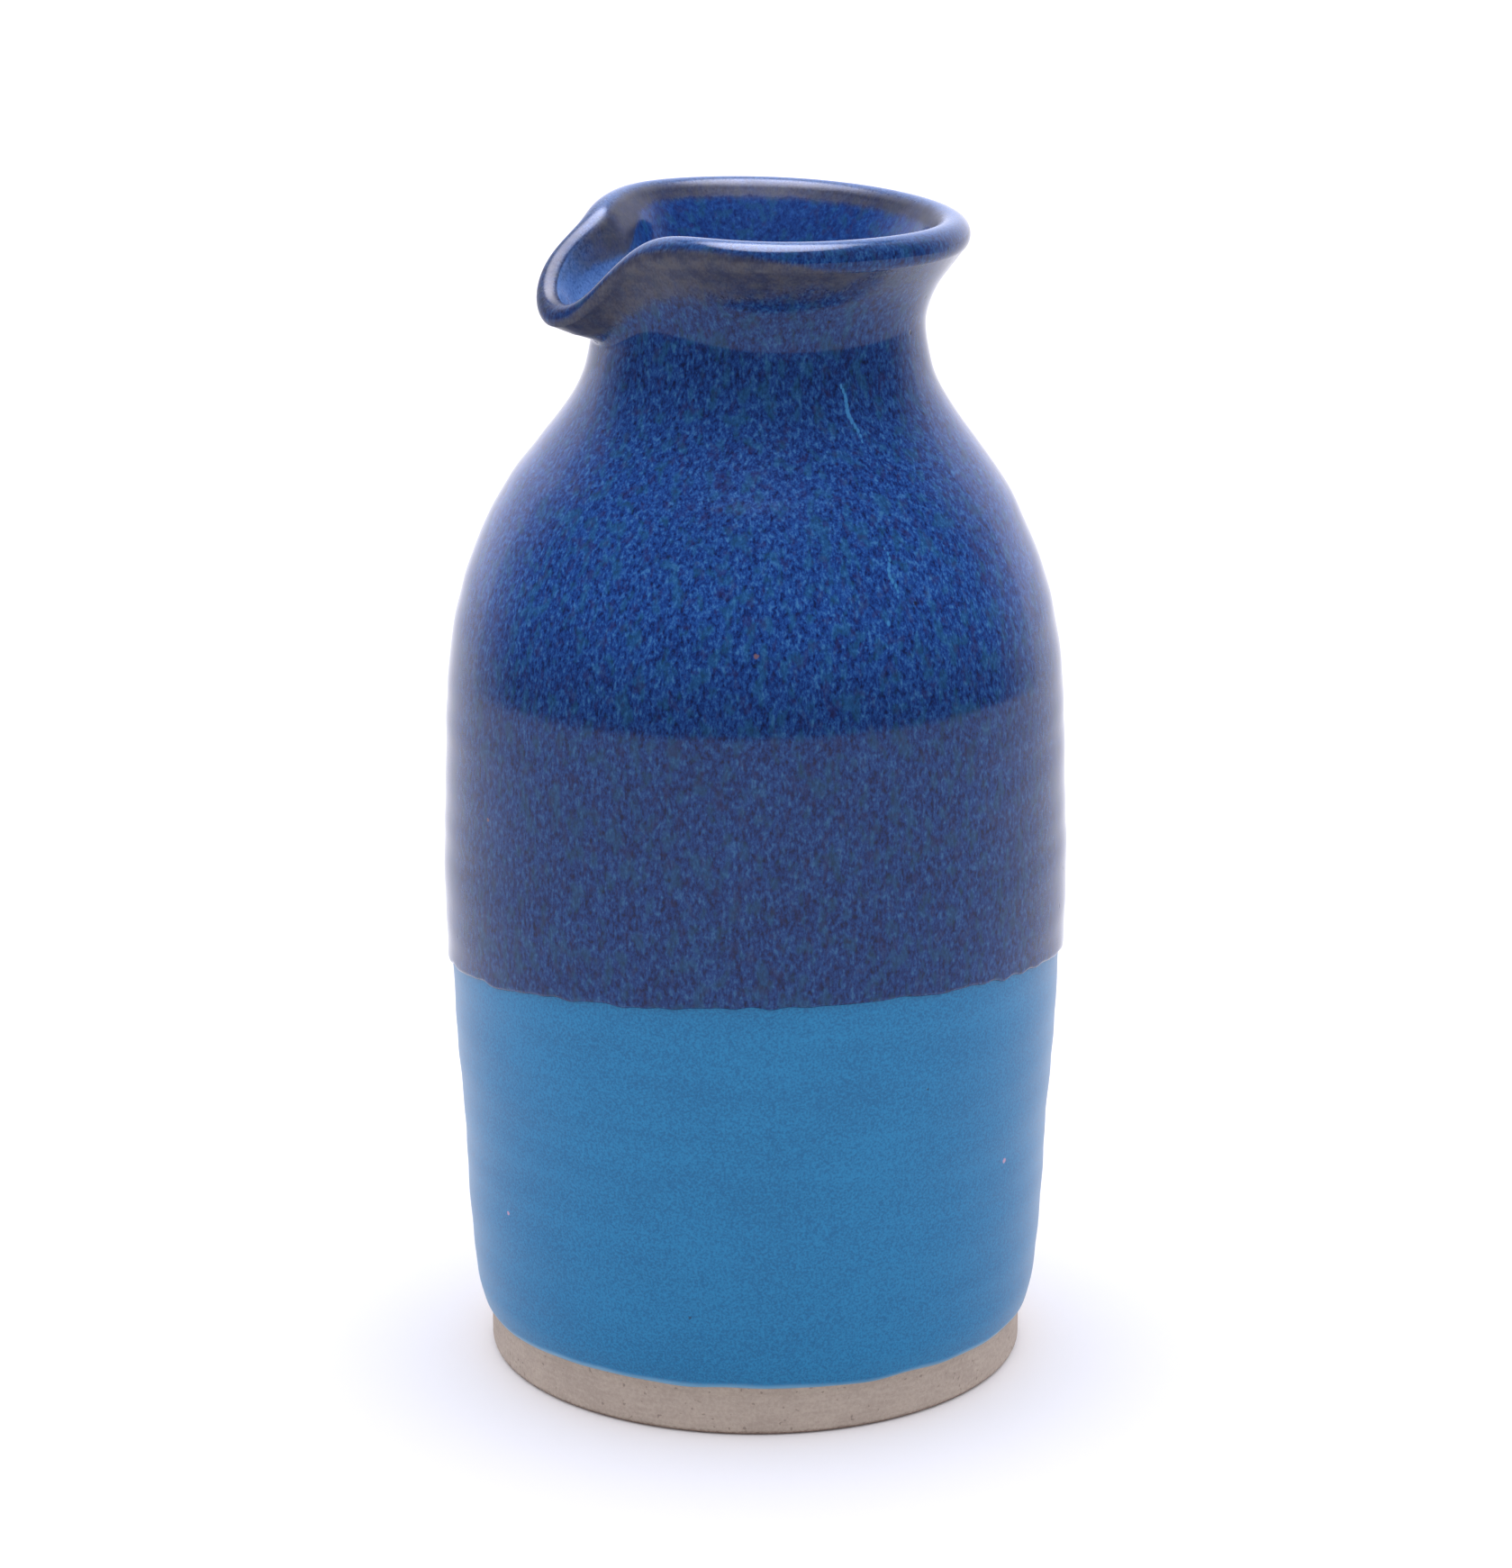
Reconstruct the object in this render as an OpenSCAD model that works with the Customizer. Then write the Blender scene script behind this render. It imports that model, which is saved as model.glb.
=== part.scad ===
// Wheel-thrown stoneware pourer: a bottle-shaped pitcher with a pulled spout.
// Frame: +Z up, origin on the resting plane under the centre, spout along -X.

/* [Body] */
// Height of the belly, where the pot is widest
belly_height = 74; // [72:1:76]
// Radius of the clay at the belly
belly_radius = 44.6; // [44:0.1:45.6]
// Radius of the clay half way up the shoulder
shoulder_radius = 37.1; // [36.5:0.1:38]
// Thickness of the thrown wall
wall_thickness = 3.6; // [3:0.1:4.2]
// Thickness of the floor
floor_thickness = 6.5; // [4:0.5:9]
// Radius of the curve between the floor and the wall inside
floor_curve = 15; // [8:1:18]

/* [Foot] */
// Radius of the bare clay foot
foot_radius = 39.6; // [39:0.1:40]
// Rounding of the foot's lower edge
foot_rounding = 1; // [0.5:0.1:2]
// Width of the flat ring that the pot stands on
foot_ring_width = 8; // [5:0.5:12]
// Depth of the shallow hollow inside the ring
foot_hollow_depth = 0.8; // [0.4:0.1:1.5]

/* [Neck and rim] */
// Radius of the clay at the narrowest place of the neck
neck_radius = 23.2; // [22.8:0.1:24]
// Radius of the middle of the rolled rim
rim_radius = 27.9; // [27:0.1:28.5]
// Height of the middle of the rolled rim
rim_height = 167.9; // [167:0.1:169]
// Half the width of the rolled rim
rim_half_width = 2; // [1.6:0.1:2.4]
// Half the height of the rolled rim
rim_half_height = 1.9; // [1.6:0.1:2.6]
// How far the rim rises and falls in two waves round the mouth
rim_wave = 0.45; // [0:0.05:1]

/* [Spout] */
// How far the lip is pulled outwards
lip_reach = 3.9; // [0:0.1:4.6]
// How far the lip is pulled down
lip_drop = 10.5; // [6:0.1:11.6]
// Angle over which the lip reaches out
lip_reach_angle = 17.5; // [14:0.5:26]
// Angle by which the lip reaches out to one side
lip_reach_lean = -2.5; // [-6:0.5:6]
// Angle over which the lip comes down
lip_drop_angle = 22.5; // [18:0.5:28]
// Angle by which the lowest part of the lip leans to one side
lip_lean = 5.3; // [-8:0.1:8]
// Share by which the rolled rim is thinner at the lip
lip_thinning = 0.24; // [0:0.02:0.3]
// Angle over which the rolled rim is thinner
lip_thinning_angle = 22; // [14:1:30]
// How far the rim is pinched in at each side of the lip
pinch_depth = 4.1; // [1:0.1:4.4]
// Angle from the lip to each pinch
pinch_angle = 35; // [33:1:46]
// Angle over which a pinch spreads
pinch_spread = 29; // [14:1:34]
// How far the rim is pushed up just behind each pinch
pinch_rise = 0.6; // [0:0.1:1.6]
// How much further the rim is tucked in beside the lip on one side
tuck_depth = 0.8; // [0:0.1:1.2]
// Angle from the lip to the tuck
tuck_angle = 25; // [22:1:32]
// Angle over which the tuck spreads
tuck_spread = 9.5; // [8:0.5:14]
// Height where the pulling of the spout begins
pull_height = 152; // [151:0.5:153]

/* [Glaze] */
// Thickness of the turquoise coat
turquoise_coat = 0.5; // [0.3:0.05:0.7]
// Thickness of the blue coat
blue_coat = 0.6; // [0.4:0.05:0.8]
// Thickness of the coat inside
liner_coat = 0.5; // [0.3:0.05:0.7]
// Height of the line where the turquoise begins above the bare foot
foot_line = 7.3; // [6.5:0.1:9]
// Mean height of the edge of the blue dip
dip_height = 61; // [50:1:66]
// How far the edge of the blue dip leans from its mean height
dip_lean = 5.8; // [0:0.1:7]
// Direction in which the edge of the blue dip is highest
dip_direction = 267; // [0:1:359]

/* [Hidden] */
$fn = 96;

// Heights where one stretch of the pot gives way to the next
foot_band_top = 6;
throat_start = 142;
crown_height = 150;
flare_end = 163.5;
seam_overlap = 1;
seam_inset = 0.1;
throat_edge = 146;
turquoise_top = 148;
turquoise_fade = 10;

// How far a coat takes to swell from its edge to its full thickness
glaze_edge_run = 1.6;
glaze_edge_lip = 0.4;

// Directions round the pot, and steps along each stretch of a section
column_count = 60;
body_steps = 40;
wall_steps = 12;
flare_steps = 6;
roll_steps = 9;
throat_steps = 8;
arc_steps = 8;

// The roll begins on the outside below its middle and ends on the inside
roll_start = -50;
roll_end = 150;
roll_bottom = rim_height - 0.8 * rim_half_height;
roll_mouth = rim_height + rim_half_height * sin(roll_end);
rim_mouth = rim_radius + rim_half_width * cos(roll_end);

// Height and radius of the clay outside, from the foot to the flare of the neck
outside_curve = [
    [foot_band_top, foot_radius],
    [8.5, foot_radius + 0.9],
    [12, foot_radius + 1.7],
    [24, belly_radius - 2.3],
    [36, belly_radius - 1.8],
    [48, belly_radius - 0.9],
    [60, belly_radius - 0.4],
    [belly_height, belly_radius],
    [86, belly_radius - 0.35],
    [100, belly_radius - 0.8],
    [109, belly_radius - 1.7],
    [118, belly_radius - 3.8],
    [127, shoulder_radius],
    [132, shoulder_radius - 2.9],
    [136, shoulder_radius - 5.9],
    [141, neck_radius + 4.5],
    [145.5, neck_radius + 2],
    [150, neck_radius + 0.65],
    [155, neck_radius],
    [158.5, neck_radius + 0.7],
    [162, neck_radius + 2.6],
    [165, neck_radius + 5.2]
];

// Height and radius of the clay inside the neck
inside_curve = [
    [throat_start, clay_inside(throat_start, wall_thickness)],
    [crown_height, neck_radius - wall_thickness + 0.6],
    [155, neck_radius - wall_thickness],
    [160, neck_radius - wall_thickness + 1.2],
    [164, neck_radius - wall_thickness + 3.5],
    [roll_mouth, rim_mouth],
    [roll_mouth + 2, rim_mouth + 1.2]
];

// Smooth curve through a list of heights and radii
function slope_at(curve, i) =
    let (a = curve[max(i - 1, 0)], b = curve[min(i + 1, len(curve) - 1)])
    (b[1] - a[1]) / (b[0] - a[0]);
function span_of(curve, z, i = 0) =
    (i >= len(curve) - 2 || z < curve[i + 1][0]) ? i : span_of(curve, z, i + 1);
function radius_on(curve, z) =
    let (
        i = span_of(curve, z),
        step = curve[i + 1][0] - curve[i][0],
        t = (z - curve[i][0]) / step,
        rise = curve[i + 1][1] - curve[i][1]
    )
    curve[i][1] + rise * t * t * (3 - 2 * t)
        + slope_at(curve, i) * step * t * (1 - t) * (1 - t)
        - slope_at(curve, i + 1) * step * t * t * (1 - t);

// Radius of the clay outside at a height
function clay_outside(z) = radius_on(outside_curve, z);

// Length of wall met when it is crossed level instead of squarely
function level_factor(z) =
    let (slope = (clay_outside(z + 0.5) - clay_outside(z - 0.5)))
    sqrt(1 + slope * slope);

// Radius inside the pot, a given thickness in from the outside
function clay_inside(z, thickness) = clay_outside(z) - thickness * level_factor(z);

// Even steps from one value to another
function steps(from, to, count) = [for (i = [0:count]) from + (to - from) * i / count];

// Share of a coat's thickness that it has reached at a distance from its edge
function swell(distance, run) = sqrt(1 - pow(1 - min(max(distance / run, 0), 1), 2));

// Radius of the turquoise coat's surface, which fades out under the blue at the neck
function turquoise_surface(z) =
    let (
        foot_share = swell(z - foot_line, glaze_edge_run),
        neck_share = min(max((turquoise_top - z) / turquoise_fade, 0), 1)
    )
    clay_outside(z) + turquoise_coat * min(foot_share, neck_share) * level_factor(z);

// Share of its thickness that the blue coat has reached at a height above its edge
function edge_swell(above) = swell(above + glaze_edge_lip, glaze_edge_run);

// Height of the blue coat's edge in a direction
function dip_edge(direction) = dip_height + dip_lean * cos(direction - dip_direction);

// Section of the rim and neck, as points of radius and height
flare_path = [for (z = steps(crown_height, flare_end, flare_steps)) [clay_outside(z), z]];
roll_path = [for (a = steps(roll_start, roll_end, roll_steps))
    [rim_radius + rim_half_width * cos(a), rim_height + rim_half_height * sin(a)]];
throat_path = [for (z = steps(roll_mouth, crown_height, throat_steps)) if (z < roll_mouth)
    [radius_on(inside_curve, z), z]];
crown_path = concat(flare_path, roll_path, throat_path);

// Pulling of the spout: how a point of the section moves at a turn from the spout
function bump(turn, spread) = exp(-pow(turn / spread, 2));
function pull_share(z) =
    min(max((z - pull_height) / (roll_bottom - pull_height), 0), 1);
function pull_out(turn) =
    lip_reach * bump(turn - lip_reach_lean, lip_reach_angle)
    - pinch_depth * (bump(turn - pinch_angle, pinch_spread) + bump(turn + pinch_angle, pinch_spread))
    - tuck_depth * bump(turn + tuck_angle, tuck_spread);
function pull_up(turn) =
    pinch_rise * (bump(turn - 1.5 * pinch_angle, pinch_spread) + bump(turn + 1.5 * pinch_angle, pinch_spread))
    - rim_wave * cos(2 * turn)
    - lip_drop * bump(turn - lip_lean, lip_drop_angle);
function thinned(point, turn) =
    let (share = min(max((point[1] - flare_end) / (roll_bottom - flare_end), 0), 1))
    point - share * lip_thinning * bump(turn, lip_thinning_angle) * (point - [rim_radius, rim_height]);
function pulled(point, turn) =
    let (share = pull_share(point[1]))
    thinned(point, turn) + [pow(share, 1.6) * pull_out(turn), share * pull_up(turn)];

// A point of a section turned into place, where the spout points along -X
function placed(point, turn) = [-point[0] * cos(turn), -point[0] * sin(turn), point[1]];

// A path moved square to itself by a distance for each of its points
function across(a, b) = let (d = b - a) [d[1], -d[0]] / norm(d);
function moved_out(path, distances) =
    [for (i = [0:len(path) - 1])
        path[i] + distances[i] * across(path[max(i - 1, 0)], path[min(i + 1, len(path) - 1)])];

// Closed ring from one closed section in each direction
module ring_of(sections) {
    count = len(sections);
    size = len(sections[0]);
    polyhedron(
        points = [for (section = sections) each section],
        faces = [for (c = [0:count - 1], i = [0:size - 1])
            let (d = (c + 1) % count, j = (i + 1) % size)
            each [
                [c * size + i, d * size + i, d * size + j],
                [c * size + i, d * size + j, c * size + j]
            ]]
    );
}

// Turns from the spout of all the columns
turns = [for (c = [0:column_count - 1]) 360 * c / column_count - 180];

// Section of the clay crown, from inside to outside, with its lower end sunk into the body
crown_root = crown_height - seam_overlap;
crown_last = len(crown_path) - 1;
crown_section = concat(
    [[radius_on(inside_curve, crown_root) + seam_inset, crown_root]],
    [[crown_path[crown_last][0] + seam_inset, crown_height]],
    [for (i = [crown_last - 1:-1:1]) crown_path[i]],
    [[crown_path[0][0] - seam_inset, crown_height]],
    [[clay_outside(crown_root) - seam_inset, crown_root]]
);

// Outline of the hollow inside the pot, a given distance in from the clay
function hollow_radius(z, coat) =
    z > throat_start
        ? radius_on(inside_curve, z) - coat
        : clay_inside(z, wall_thickness + coat);
function hollow_outline(top, coat) =
    let (
        bend = floor_curve - coat,
        bend_top = floor_thickness + floor_curve,
        bend_radius = hollow_radius(bend_top, coat) - bend
    )
    concat(
        [for (z = steps(top, bend_top, body_steps)) [hollow_radius(z, coat), z]],
        [for (a = steps(0, -90, arc_steps)) if (a < 0)
            [bend_radius + bend * cos(a), bend_top + bend * sin(a)]]
    );

// Thrown clay: foot, wall and floor turned as one, with the pulled neck on top
module stoneware_body() {
    ring_inside = foot_radius - foot_rounding - foot_ring_width;
    hollow_run = 2;
    foot_edge = [for (a = steps(-90, 0, arc_steps))
        [foot_radius - foot_rounding * (1 - cos(a)), foot_rounding * (1 + sin(a))]];
    wall = [for (z = steps(foot_band_top, crown_height, body_steps)) [clay_outside(z), z]];
    color([0.76, 0.70, 0.66]) {
        rotate_extrude()
            polygon(concat(
                [[0, foot_hollow_depth]],
                [[ring_inside - hollow_run, foot_hollow_depth]],
                [[ring_inside, 0]],
                foot_edge,
                wall,
                hollow_outline(crown_height, 0),
                [[0, floor_thickness]]
            ));
        ring_of([for (turn = turns) [for (p = crown_section) placed(pulled(p, turn), turn)]]);
    }
}

// Base coat, poured over the outside from the foot line to the neck
module turquoise_glaze() {
    heights = concat(
        steps(foot_line, foot_line + glaze_edge_run, arc_steps),
        [for (z = steps(foot_line + glaze_edge_run, turquoise_top, body_steps))
            if (z > foot_line + glaze_edge_run) z]
    );
    last = len(heights) - 1;
    color([0.18, 0.52, 0.72])
        rotate_extrude()
            polygon(concat(
                [for (z = heights) [clay_outside(z), z]],
                [for (i = [last - 1:-1:1]) [turquoise_surface(heights[i]), heights[i]]]
            ));
}

// Top coat, from a leaning dip line over the rim and down into the throat
module blue_glaze() {
    edge_share = [for (i = [0:wall_steps]) pow(i / wall_steps, 1.5)];
    throat_end = [for (z = steps(crown_height, throat_edge, 2)) if (z < crown_height)
        [radius_on(inside_curve, z), z]];
    color([0.16, 0.27, 0.52])
        ring_of([for (turn = turns)
            let (
                edge = dip_edge(turn + 180),
                heights = [for (s = edge_share) edge + (crown_height - edge) * s],
                wall = [for (z = heights) if (z < crown_height) [turquoise_surface(z), z]],
                under = concat(wall, crown_path, throat_end),
                last = len(under) - 1,
                coats = [for (i = [0:last]) blue_coat * (i < len(wall) ? edge_swell(heights[i] - edge) : 1)],
                raised = moved_out(under, coats),
                top = [for (i = [0:last]) i == last ? [raised[i][0], throat_edge] : raised[i]]
            )
            [
                for (i = [0:last]) placed(pulled(under[i], turn), turn),
                for (i = [last:-1:0]) placed(pulled(top[i], turn), turn)
            ]
        ]);
}

// Coat inside, over the wall and the floor up to the throat
module liner_glaze() {
    on_clay = hollow_outline(throat_edge, 0);
    surface = hollow_outline(throat_edge, liner_coat);
    last = len(surface) - 1;
    color([0.20, 0.33, 0.58])
        rotate_extrude()
            polygon(concat(
                on_clay,
                [[0, floor_thickness]],
                [[0, floor_thickness + liner_coat]],
                [for (i = [last:-1:0]) surface[i]]
            ));
}

stoneware_body();
turquoise_glaze();
blue_glaze();
liner_glaze();
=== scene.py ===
"""Looks of a wheel-thrown stoneware pourer with two coats of glaze outside and one inside.

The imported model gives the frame: the origin stands on the resting plane under the centre, +Z is up
and the spout points along -X. Shapes are worked out in the millimetres of the drawn pot and scaled
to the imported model. A turn is an angle round the pot, in degrees, counted from the spout.
"""

import logging
import math
import random
from dataclasses import dataclass, field
from enum import Enum
from typing import ClassVar

import bpy
import numpy as np
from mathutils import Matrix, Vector


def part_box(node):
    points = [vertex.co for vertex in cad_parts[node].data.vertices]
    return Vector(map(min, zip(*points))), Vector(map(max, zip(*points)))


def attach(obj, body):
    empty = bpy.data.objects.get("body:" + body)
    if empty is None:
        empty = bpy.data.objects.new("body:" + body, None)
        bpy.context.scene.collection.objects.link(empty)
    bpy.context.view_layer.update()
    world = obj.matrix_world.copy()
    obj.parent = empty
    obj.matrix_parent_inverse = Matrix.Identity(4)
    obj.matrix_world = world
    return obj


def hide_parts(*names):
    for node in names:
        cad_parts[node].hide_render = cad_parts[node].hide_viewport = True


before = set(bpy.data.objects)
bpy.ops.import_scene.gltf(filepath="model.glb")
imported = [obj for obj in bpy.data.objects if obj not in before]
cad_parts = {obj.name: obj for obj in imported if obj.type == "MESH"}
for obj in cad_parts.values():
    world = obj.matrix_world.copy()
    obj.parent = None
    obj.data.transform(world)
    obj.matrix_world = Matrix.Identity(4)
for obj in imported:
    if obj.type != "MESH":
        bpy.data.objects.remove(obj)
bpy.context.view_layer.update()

Colour = tuple[float, float, float]
LOG = logging.getLogger("pourer")
# Radius where a turned section stops short of the axis, in drawn millimetres.
AXIS_GAP = 0.4
# Angles that stand for the crown's points before and after the roll, whose own run from -50 to 150.
BEFORE_ROLL, AFTER_ROLL = -90.0, 270.0


class Slot(Enum):
    """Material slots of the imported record."""

    CLAY = "stoneware"
    TURQUOISE = "turquoise_glaze"
    BLUE = "blue_glaze"
    LINER = "liner_glaze"


# ---------------------------------------------------------------------------------------------
# Shape


def bump(turn: np.ndarray, spread: float) -> np.ndarray:
    """A rounded hill that is 1 at zero and fades over a spread."""
    return np.exp(-((turn / spread) ** 2))


def swell(distance: np.ndarray, run: float) -> np.ndarray:
    """Share of full thickness reached at a distance from a rounded edge."""
    return np.sqrt(1 - (1 - np.clip(distance / run, 0, 1)) ** 2)


def ease(value: np.ndarray, low: float, high: float) -> np.ndarray:
    """Smooth step from 0 at low to 1 at high."""
    share = np.clip((value - low) / (high - low), 0, 1)
    return share * share * (3 - 2 * share)


def wrapped(turn: np.ndarray) -> np.ndarray:
    """A turn brought between -180 and 180 degrees."""
    return (turn + 180) % 360 - 180


def crowded(steps: int) -> np.ndarray:
    """Shares from 0 to just under 1, crowded near 0, where an edge is round."""
    return np.linspace(0, 1, steps, endpoint=False) ** 1.6


def pairs(radius: np.ndarray | float, height: np.ndarray | float) -> np.ndarray:
    """Points of radius and height, where either may be one number for all of them."""
    return np.stack(np.broadcast_arrays(radius, height), -1)


def arc(centre: tuple[float, float], size: tuple[float, float], ends: tuple[float, float],
        steps: int) -> np.ndarray:
    """Points along an arc of a circle or ellipse.

    Args:
        centre: Radius and height of its centre.
        size: Its half width and half height.
        ends: Angles of its first and last point, in degrees.
        steps: Number of points.

    Returns:
        The points, as radius and height.
    """
    a = np.radians(np.linspace(*ends, steps))
    return pairs(centre[0] + size[0] * np.cos(a), centre[1] + size[1] * np.sin(a))


def new_object(name: str, points: list[tuple[float, ...]], faces: list[tuple[int, ...]]) -> bpy.types.Object:
    """Makes a mesh object in the scene.

    Args:
        name: Its name.
        points: Places of its corners, in metres.
        faces: Corners of each face.

    Returns:
        The object.
    """
    mesh = bpy.data.meshes.new(name)
    mesh.from_pydata(points, [], faces)
    made = bpy.data.objects.new(name, mesh)
    bpy.context.scene.collection.objects.link(made)
    return made


@dataclass(frozen=True)
class Curve:
    """Smooth curve through heights and radii."""

    heights: tuple[float, ...]
    radii: tuple[float, ...]

    def at(self, z: np.ndarray) -> np.ndarray:
        """Radius at a height.

        Args:
            z: Heights in millimetres.

        Returns:
            The radii of the curve there, in millimetres.
        """
        x, y = np.array(self.heights), np.array(self.radii)
        before, after = np.maximum(np.arange(len(x)) - 1, 0), np.minimum(np.arange(len(x)) + 1, len(x) - 1)
        slope = (y[after] - y[before]) / (x[after] - x[before])
        i = np.clip(np.searchsorted(x, z, side="right") - 1, 0, len(x) - 2)
        step = x[i + 1] - x[i]
        t = (z - x[i]) / step
        return (
            y[i]
            + (y[i + 1] - y[i]) * t * t * (3 - 2 * t)
            + slope[i] * step * t * (1 - t) ** 2
            - slope[i + 1] * step * t * t * (1 - t)
        )


@dataclass
class Ripple:
    """Irregular line round the pot, as a sum of waves.

    Attributes:
        seed: Seed of the waves' phases.
        lowest: Number of waves round the pot in the slowest wave.
        highest: Number of waves round the pot in the fastest wave.
        size: Root mean square height of the whole, in millimetres.
        fall: How quickly the faster waves grow weaker.
    """

    seed: int
    lowest: int
    highest: int
    size: float
    fall: float = 0.8

    def at(self, turn: np.ndarray) -> np.ndarray:
        """Height of the line.

        Args:
            turn: Turns in degrees.

        Returns:
            The height at each of them, in millimetres.
        """
        dice = random.Random(self.seed)
        total, power = np.zeros_like(turn), 0.0
        for count in range(self.lowest, self.highest + 1):
            weight = (self.lowest / count) ** self.fall * dice.uniform(0.4, 1.0)
            total = total + weight * np.cos(np.radians(count * turn) + dice.uniform(0, 2 * math.pi))
            power += weight * weight / 2
        return self.size * total / math.sqrt(power)


@dataclass
class ThrownForm:
    """The pot's shape, shared by the clay and its coats. Lengths are in millimetres of the drawn pot.

    Attributes:
        rings: Pitch, weight and phase of each set of the rings that the fingers leave.
        wobbles: Waves round the pot and millimetres of height to a radian, for each slow unevenness.
        unit: How many metres a drawn millimetre is.
        outside: Radius of the clay outside.
        inside: Radius of the throat.
    """

    belly_height: float = 74
    belly_radius: float = 44.6
    shoulder_radius: float = 37.1
    foot_radius: float = 39.6
    foot_top: float = 6
    neck_radius: float = 23.2
    neck_sway: float = 0.5
    sway_rise: tuple[float, float] = (124, 147)
    sway_fall: tuple[float, float] = (157, 165)
    wall: float = 3.6
    floor: float = 6.5
    floor_curve: float = 15
    throat_start: float = 142
    throat_edge: float = 146
    crown: float = 150
    flare_end: float = 163.5
    rim_radius: float = 27.9
    rim_height: float = 167.9
    rim_half_width: float = 2
    rim_half_height: float = 1.9
    rim_wave: float = 0.45
    lip_reach: float = 3.9
    lip_drop: float = 10.5
    lip_reach_angle: float = 17.5
    lip_reach_lean: float = -2.5
    lip_drop_angle: float = 22.5
    lip_lean: float = 5.3
    lip_thinning: float = 0.24
    lip_thinning_angle: float = 22
    pinch_depth: float = 4.1
    pinch_angle: float = 35
    pinch_spread: float = 29
    pinch_rise: float = 0.6
    tuck_depth: float = 0.8
    tuck_angle: float = 25
    tuck_spread: float = 9.5
    pull_height: float = 152
    roll_start: float = -50
    roll_end: float = 150
    turquoise_coat: float = 0.5
    turquoise_top: float = 148
    turquoise_fade: float = 10
    foot_line: float = 7.3
    dip_height: float = 61
    dip_lean: float = 5.8
    dip_turn: float = 87
    coat_sink: float = 0.12
    blue_coat: float = 0.6
    liner_coat: float = 0.5
    ring_depth: float = 0.035
    ring_sink: float = 1.8
    rings_start: float = 16
    rings_fade: float = 140
    rings: tuple[tuple[float, float, float], ...] = ((7.3, 1.0, 0.0), (5.1, 0.35, 1.0), (12.5, 0.7, 2.0))
    wobbles: tuple[tuple[float, float], ...] = ((2, 30), (3, -22))
    unit: float = field(init=False)
    outside: Curve = field(init=False)
    inside: Curve = field(init=False)

    def __post_init__(self) -> None:
        """Draws the two curves and finds how many metres a drawn millimetre is."""
        belly, shoulder, neck = self.belly_radius, self.shoulder_radius, self.neck_radius
        foot = self.foot_radius
        self.outside = Curve(
            (6, 8.5, 12, 24, 36, 48, 60, self.belly_height, 86, 100, 109, 118, 127, 132, 136, 141, 145.5, 150,
             155, 158.5, 162, 165),
            (foot, foot + 0.9, foot + 1.7, belly - 2.3, belly - 1.8, belly - 0.9, belly - 0.4, belly,
             belly - 0.35, belly - 0.8, belly - 1.7, belly - 3.8, shoulder, shoulder - 2.9, shoulder - 5.9,
             neck + 4.5, neck + 2, neck + 0.65, neck, neck + 0.7, neck + 2.6, neck + 5.2),
        )
        throat, mouth = neck - self.wall, self.rim_mouth
        self.inside = Curve(
            (self.throat_start, self.crown, 155, 160, 164, self.roll_mouth, self.roll_mouth + 2),
            (float(self.clay_inside(np.array(self.throat_start), self.wall)), throat + 0.6, throat,
             throat + 1.2, throat + 3.5, mouth, mouth + 1.2),
        )
        turns = np.linspace(-180, 180, 721)[:, None]
        crest = np.array([[[self.rim_radius, self.rim_height + self.rim_half_height]]])
        drawn_top = self.pulled(np.broadcast_to(crest, (len(turns), 1, 2)), turns)[..., 1].max()
        self.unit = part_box("stoneware_body")[1].z / float(drawn_top)

    @property
    def roll_bottom(self) -> float:
        """Height of the lower edge of the rolled rim outside."""
        return self.rim_height - 0.8 * self.rim_half_height

    @property
    def roll_mouth(self) -> float:
        """Height where the rolled rim runs on into the throat."""
        return self.rim_height + self.rim_half_height * math.sin(math.radians(self.roll_end))

    @property
    def rim_mouth(self) -> float:
        """Radius where the rolled rim runs on into the throat."""
        return self.rim_radius + self.rim_half_width * math.cos(math.radians(self.roll_end))

    def clay_outside(self, z: np.ndarray) -> np.ndarray:
        """Radius of the clay outside at a height."""
        return self.outside.at(z)

    def level_factor(self, z: np.ndarray) -> np.ndarray:
        """Length of wall met when it is crossed level instead of squarely."""
        return np.sqrt(1 + (self.clay_outside(z + 0.5) - self.clay_outside(z - 0.5)) ** 2)

    def clay_inside(self, z: np.ndarray, thickness: float) -> np.ndarray:
        """Radius inside the pot, a thickness in from the outside."""
        return self.clay_outside(z) - thickness * self.level_factor(z)

    def turquoise_surface(self, z: np.ndarray, foot_line: np.ndarray) -> np.ndarray:
        """Radius of the turquoise coat's surface, which fades out under the blue at the neck.

        Args:
            z: Heights.
            foot_line: Height of the coat's lower edge in the same direction.

        Returns:
            The radii of the surface.
        """
        foot_share = swell(z - foot_line, 1.1)
        neck_share = np.clip((self.turquoise_top - z) / self.turquoise_fade, 0, 1)
        depth = self.turquoise_coat * np.minimum(foot_share, neck_share)
        return self.clay_outside(z) + depth * self.level_factor(z)

    def dip_edge(self, turn: np.ndarray) -> np.ndarray:
        """Mean height of the blue coat's edge at a turn."""
        return self.dip_height + self.dip_lean * np.cos(np.radians(turn - self.dip_turn))

    def flare_path(self, steps: int) -> np.ndarray:
        """Section of the neck outside, from the body to the roll, as radius and height."""
        z = np.linspace(self.crown, self.flare_end, steps, endpoint=False)
        return pairs(self.clay_outside(z), z)

    def roll_path(self, steps: int) -> np.ndarray:
        """Section of the rolled rim, as radius and height."""
        size = (self.rim_half_width, self.rim_half_height)
        return arc((self.rim_radius, self.rim_height), size, (self.roll_start, self.roll_end), steps)

    def throat_path(self, lowest: float, steps: int) -> np.ndarray:
        """Section of the throat, from the roll down to a height, as radius and height."""
        z = np.linspace(self.roll_mouth, lowest, steps + 1)[1:]
        return pairs(self.inside.at(z), z)

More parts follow.
